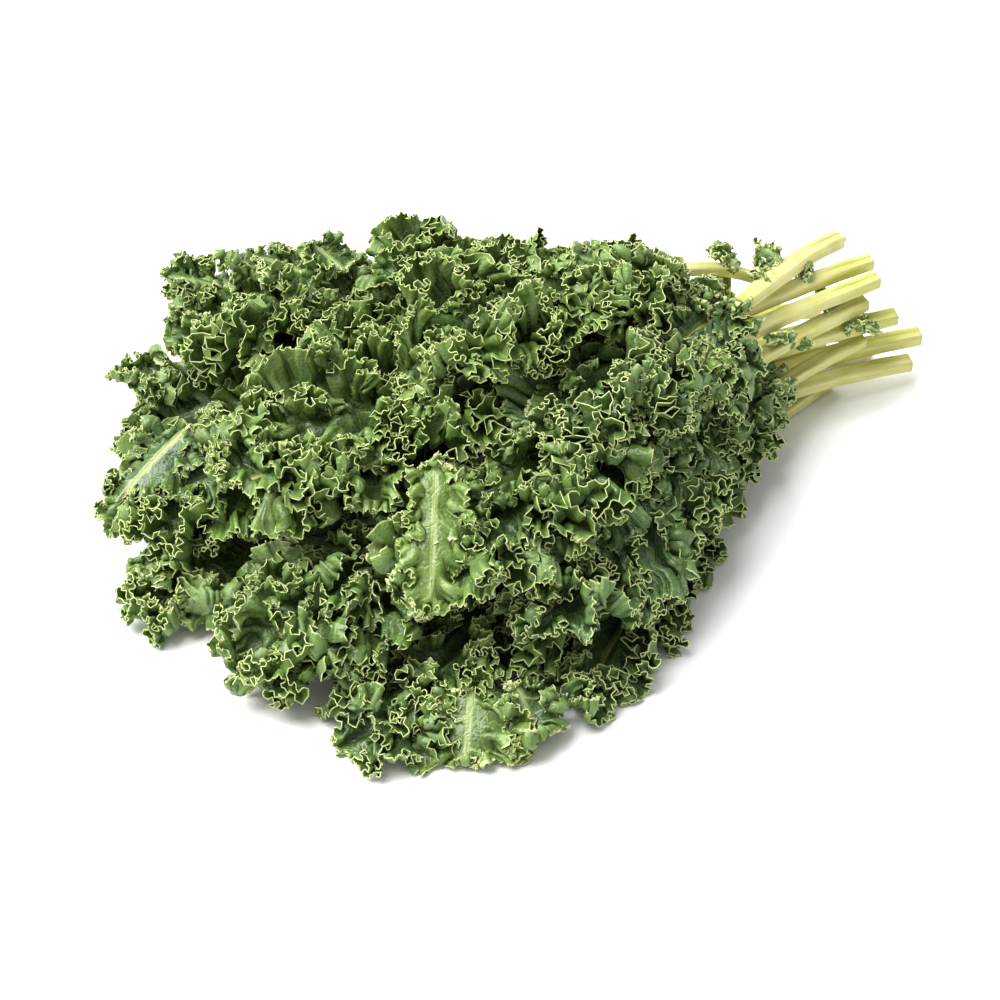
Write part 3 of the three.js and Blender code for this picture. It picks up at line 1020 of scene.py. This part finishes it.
def stalk_tree(values):
    """The tree that sweeps a channelled, ridged section along a stalk."""
    net, wires = geometry_tree("Kale Stalk", values)
    inputs = {"Resolution": wires["Sides"], "Radius": 1.0}
    circle = net.add("GeometryNodeCurvePrimitiveCircle", {"mode": "RADIUS"}, inputs)[0]
    around = net.add("GeometryNodeSplineParameter")[0]
    inputs = {"Geometry": circle, "Name": "around", "Value": around}
    settings = {"data_type": "FLOAT", "domain": "POINT"}
    section = net.add("GeometryNodeStoreNamedAttribute", settings, inputs)[0]
    x, y, _ = net.add("ShaderNodeSeparateXYZ", None, {0: net.position()})
    dip = wires["Channel"] * (0 - (x / 0.5) ** 2).exponent() * y.ramp(0.0, 0.6)
    ridges = (around * TAU * RIDGES).cosine() * RIDGE_HEIGHT
    inputs = {"X": x * (ridges + WIDER), "Y": y * (ridges - FLATTER) - dip}
    section = net.move(section, net.add("ShaderNodeCombineXYZ", None, inputs)[0])

    rail = net.add("GeometryNodeMeshToCurve", None, {"Mesh": wires["Geometry"]})[0]
    rail = net.add("GeometryNodeSetCurveNormal", {"mode": "Z_UP"}, {"Curve": rail})[0]
    girth = net.attribute("girth")
    inputs = {"Curve": rail, "Profile Curve": section, "Scale": girth, "Fill Caps": True}
    stalk = net.add("GeometryNodeCurveToMesh", None, inputs)[0]
    uneven = net.unrest(wires["Seed"], 45.0) * (wires["Wander"] * 2)
    end_tree(net, net.move(stalk, uneven), wires["Material"])


def stalk_values(sides, channel, wander, finish, number):
    """The inputs of the stalk tree."""
    values = {"Sides": sides, "Channel": channel, "Wander": wander}
    return values | {"Seed": float(number), "Material": bpy.data.materials[finish]}


def make_stalk(name, spine, values):
    """A stalk with the midrib that it runs on into."""
    piece = new_piece(name, stalk_rail(name, spine))
    use_tree(piece, bpy.data.node_groups["Kale Stalk"], values)
    bake(piece)
    face_outwards(piece.data)
    piece.data.polygons.foreach_set("use_smooth", np.ones(len(piece.data.polygons), bool))
    piece.data.set_sharp_from_angle(angle=SHARP_FROM)
    return piece


def face_outwards(mesh):
    """Turns a closed mesh round if its faces point in."""
    points, triangles = mesh_arrays(mesh)
    a, b, c = points[triangles].transpose(1, 0, 2)
    if np.einsum("ij,ij->i", a, np.cross(b, c)).sum() < 0:
        mesh.flip_normals()


# ---- Operators ----


def stand_for(piece, node):
    """Puts a piece on the bunch in place of a CAD node."""
    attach(piece, "root")
    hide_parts(node)


class KALE_OT_make_blades(bpy.types.Operator):
    """Make the frilled blade of every leaf"""

    bl_idname = "kale.make_blades"
    bl_label = "Make Blades"

    def execute(self, context):
        leaf_finishes(context.scene.kale_colours)
        frill_tree(frill_values(context.scene.kale_blades, 1, 1, 0))
        for number, leaf in enumerate(LEAVES, start=1):
            size, roll, tint, fineness, tiers = CHARACTERS[leaf]
            spine = Spine(leaf + "_stalk")
            slab = Slab(leaf + "_blade", spine)
            piece = make_blade(
                leaf + "_frills", spine, slab, tiers, fineness, size, roll, tint, number
            )
            stand_for(piece, leaf + "_blade")
        return {"FINISHED"}


LEAFLET_SEEDS, LOBE_SEEDS = 40, 60
LEAFLET_DROOP, LOBE_DROOP = 12.0, 3.0
LEAFLET_ROOM, LOBE_ROOM = 6 * MM, 16 * MM
LEAFLET_GIRTH = 0.5 * MM
LEAFLET_LOOK = {"size": 0.6, "roll": 1, "tint": 0.4}
LOBE_RIB = {"sides": 10, "channel": 0.0, "wander": 0.1 * MM}

# The leaflets that grow on the bare stalks: which stalk, how far from its cut end, which way the
# leaflet points, how much it rises, its length and its half width.
LEAFLETS = (
    ("leaf_16", 20, 120, 0.7, 17, 8),
    ("leaf_15", 52, 100, 0.9, 13, 6),
    ("leaf_15", 66, 140, 0.9, 9, 4),
    ("leaf_13", 44, 60, 0.5, 16, 7),
    ("leaf_10", 22, 80, 0.5, 17, 7),
    ("leaf_10", 50, 200, 0.5, 15, 6),
    ("leaf_08", 26, -70, 0.4, 15, 7),
    ("leaf_12", 84, 230, 0.6, 18, 9),
    ("leaf_06", 60, 250, 0.5, 20, 9),
    ("leaf_08", 62, 230, 0.6, 18, 9),
)

# The larger lobes that stand out of the frills: which leaf, how far from its cut end, how far
# to its left and above its midrib, which way the lobe points, how much it rises, its length and
# half width, how thick its own midrib is, the size of its frills, how far it rolls, and how yellow
# its green is.
LOBES = (
    ("leaf_12", 285, -22, 36, 238, -0.42, 66, 19, 0.4, 0.9, 0.6, 1.0),
    ("leaf_09", 366, -22, 16, 195, -0.25, 52, 21, 1.3, 0.75, 0.3, 0.35),
    ("leaf_03", 353, 24, 18, 236, -0.4, 36, 30, 0.35, 0.9, 0.6, 0.9),
    ("leaf_03", 340, 40, 16, 262, -0.45, 28, 18, 0.4, 0.7, 1.0, 0.4),
    ("leaf_08", 380, 4, 12, 235, -0.4, 32, 17, 0.5, 0.7, 1.0, 0.6),
    ("leaf_05", 402, 4, 12, 215, -0.3, 28, 15, 0.5, 0.7, 1.0, 0.5),
    ("leaf_05", 408, -18, 24, 190, -0.3, 28, 16, 0.5, 0.7, 1.0, 0.5),
    ("leaf_14", 262, -12, 2, 110, 0.4, 28, 18, 0.5, 0.6, 1.0, 0.6),
    ("leaf_14", 290, -12, 2, 140, 0.4, 30, 19, 0.5, 0.6, 1.0, 0.55),
    ("leaf_11", 302, -25, 16, 140, 0.5, 32, 20, 0.5, 0.6, 1.0, 0.6),
    ("leaf_11", 326, -22, 14, 155, 0.45, 30, 20, 0.5, 0.6, 1.0, 0.5),
    ("leaf_15", 136, 14, 12, 245, -0.5, 36, 13, 0.6, 0.7, 0.5, 0.9),
    ("leaf_16", 92, 4, 8, 150, 0.5, 26, 15, 0.5, 0.6, 0.4, 0.35),
    ("leaf_04", 366, -24, 22, 152, 0.25, 34, 22, 0.5, 0.7, 1.0, 0.6),
)


def make_lobe(name, spine, room, size, roll, tint, number):
    """A lobe or leaflet with its own midrib."""
    piece = make_blade(name, spine, room, LOBE_TIER, LOBE_FINENESS, size, roll, tint, number)
    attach(piece, "root")
    values = stalk_values(**LOBE_RIB, finish=MIDRIB_FINISH, number=number)
    rib = make_stalk(name + "_rib", spine, values)
    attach(rib, "root")


class KALE_OT_make_leaflets(bpy.types.Operator):
    """Make the small leaflets that grow on the stalks"""

    bl_idname = "kale.make_leaflets"
    bl_label = "Make Leaflets"

    def execute(self, context):
        for number, (leaf, along, turn, rise, length, half_width) in enumerate(LEAFLETS, start=1):
            stalk = Spine(leaf + "_stalk")
            base = stalk.at(along * MM) + np.array([0, 0, stalk.radius(along * MM) * 0.7])
            spine = LobeSpine(base, turn, rise, LEAFLET_DROOP, length * MM, LEAFLET_GIRTH)
            room = LobeRoom(spine, length * MM, half_width * MM, LEAFLET_ROOM)
            seed = LEAFLET_SEEDS + number
            make_lobe(f"leaflet_{number:02d}", spine, room, **LEAFLET_LOOK, number=seed)
        return {"FINISHED"}


class KALE_OT_make_lobes(bpy.types.Operator):
    """Make the larger lobes that stand out of the frills"""

    bl_idname = "kale.make_lobes"
    bl_label = "Make Lobes"

    def execute(self, context):
        for number, row in enumerate(LOBES, start=1):
            leaf, along, left, above, turn, rise, length, half_width, girth, size, roll, tint = row
            stalk = Spine(leaf + "_stalk")
            place = np.array(along * MM)
            base = stalk.at(place) + stalk.side(place) * left * MM + np.array([0, 0, above * MM])
            spine = LobeSpine(base, turn, rise, LOBE_DROOP, length * MM, girth * MM)
            room = LobeRoom(spine, length * MM, half_width * MM, LOBE_ROOM)
            make_lobe(f"lobe_{number:02d}", spine, room, size, roll, tint, LOBE_SEEDS + number)
        return {"FINISHED"}


class KALE_OT_make_stalks(bpy.types.Operator):
    """Make the stalk and midrib of every leaf"""

    bl_idname = "kale.make_stalks"
    bl_label = "Make Stalks"

    def execute(self, context):
        stalk_finish(STALK_FINISH, context.scene.kale_colours, 0.0)
        stalk_finish(MIDRIB_FINISH, context.scene.kale_colours, 1.0)
        size = context.scene.kale_stalks
        stalk_tree(stalk_values(size.sides, size.channel, size.wander, STALK_FINISH, 0))
        for number, leaf in enumerate(LEAVES, start=1):
            values = stalk_values(size.sides, size.channel, size.wander, STALK_FINISH, number)
            piece = make_stalk(leaf + "_rib", Spine(leaf + "_stalk"), values)
            stand_for(piece, leaf + "_stalk")
        return {"FINISHED"}


FLOOR_SIZE = 12.0
FLOOR_WHITE = (0.95, 0.95, 0.95, 1)
KEY_FROM = (-0.5, 0.62, 1.25)
AIM_RIGHT, AIM_UP = -12.5 * MM, -10.5 * MM


class KALE_OT_set_stage(bpy.types.Operator):
    """Set the camera, the white floor and the soft light"""

    bl_idname = "kale.set_stage"
    bl_label = "Set Stage"

    def execute(self, context):
        settings = context.scene.kale_stage
        set_camera(context.scene, settings)
        set_floor()
        set_light(context.scene, settings)
        context.scene.view_settings.view_transform = "Standard"
        return {"FINISHED"}


def set_camera(scene, settings):
    """A long lens that looks down on the bunch from beside its tips."""
    azimuth, elevation = settings.azimuth, settings.elevation
    level = math.cos(elevation)
    back = Vector((math.sin(azimuth) * level, -math.cos(azimuth) * level, math.sin(elevation)))
    right = Vector((math.cos(azimuth), math.sin(azimuth), 0))
    up = back.cross(right)
    aim = right * AIM_RIGHT + up * AIM_UP
    camera = bpy.data.objects.new("camera", bpy.data.cameras.new("camera"))
    camera.data.lens = settings.lens
    camera.data.clip_end = 50
    turned = Matrix((right, up, back)).transposed()
    camera.matrix_world = Matrix.Translation(aim + back * settings.distance) @ turned.to_4x4()
    scene.collection.objects.link(camera)
    scene.camera = camera


def set_floor():
    """A plain white floor."""
    half = FLOOR_SIZE / 2
    corners = [(-half, -half, 0), (half, -half, 0), (half, half, 0), (-half, half, 0)]
    mesh = bpy.data.meshes.new("floor")
    mesh.from_pydata(corners, [], [(0, 1, 2, 3)])
    material, net = new_material("white floor")
    end_material(net, net.add("ShaderNodeBsdfDiffuse", None, {"Color": FLOOR_WHITE})[0])
    mesh.materials.append(material)
    new_piece("floor", mesh)


def set_light(scene, settings):
    """A soft key light from behind on the left, in a white surround."""
    key = bpy.data.lights.new("key", "SUN")
    key.energy = settings.key_strength
    key.angle = settings.key_softness
    lamp = bpy.data.objects.new("key", key)
    lamp.rotation_euler = (-Vector(KEY_FROM)).to_track_quat("-Z", "Y").to_euler()
    scene.collection.objects.link(lamp)
    world = bpy.data.worlds.new("surround")
    world.use_nodes = True
    world.node_tree.nodes.clear()
    net = Net(world.node_tree)
    values = {"Color": (1, 1, 1, 1), "Strength": settings.surround}
    glow = net.add("ShaderNodeBackground", None, values)[0]
    net.add("ShaderNodeOutputWorld", None, {"Surface": glow})
    scene.world = world


class KALE_PT_bunch(bpy.types.Panel):
    """The kale bunch's pieces, in the order in which they are made"""

    bl_label = "Kale Bunch"
    bl_space_type = "VIEW_3D"
    bl_region_type = "UI"
    bl_category = "Kale"

    def draw(self, context):
        for step in STEPS:
            self.layout.operator(step.bl_idname)
        for name in SETTINGS:
            group = getattr(context.scene, name)
            box = self.layout.box()
            for prop in group.bl_rna.properties:
                if prop.identifier not in ("rna_type", "name"):
                    box.prop(group, prop.identifier)


SETTINGS = {
    "kale_blades": KaleBladeSettings,
    "kale_stalks": KaleStalkSettings,
    "kale_colours": KaleColourSettings,
    "kale_stage": KaleStageSettings,
}
STEPS = (
    KALE_OT_set_stage,
    KALE_OT_make_stalks,
    KALE_OT_make_blades,
    KALE_OT_make_leaflets,
    KALE_OT_make_lobes,
)


def register():
    for kind in (*SETTINGS.values(), *STEPS, KALE_PT_bunch):
        bpy.utils.register_class(kind)
    for name, kind in SETTINGS.items():
        setattr(bpy.types.Scene, name, PointerProperty(type=kind))


def unregister():
    for name in SETTINGS:
        delattr(bpy.types.Scene, name)
    for kind in (KALE_PT_bunch, *reversed(STEPS), *reversed(SETTINGS.values())):
        bpy.utils.unregister_class(kind)


def main():
    register()
    for step in STEPS:
        group, name = step.bl_idname.split(".")
        getattr(getattr(bpy.ops, group), name)()


if __name__ == "__main__":
    main()
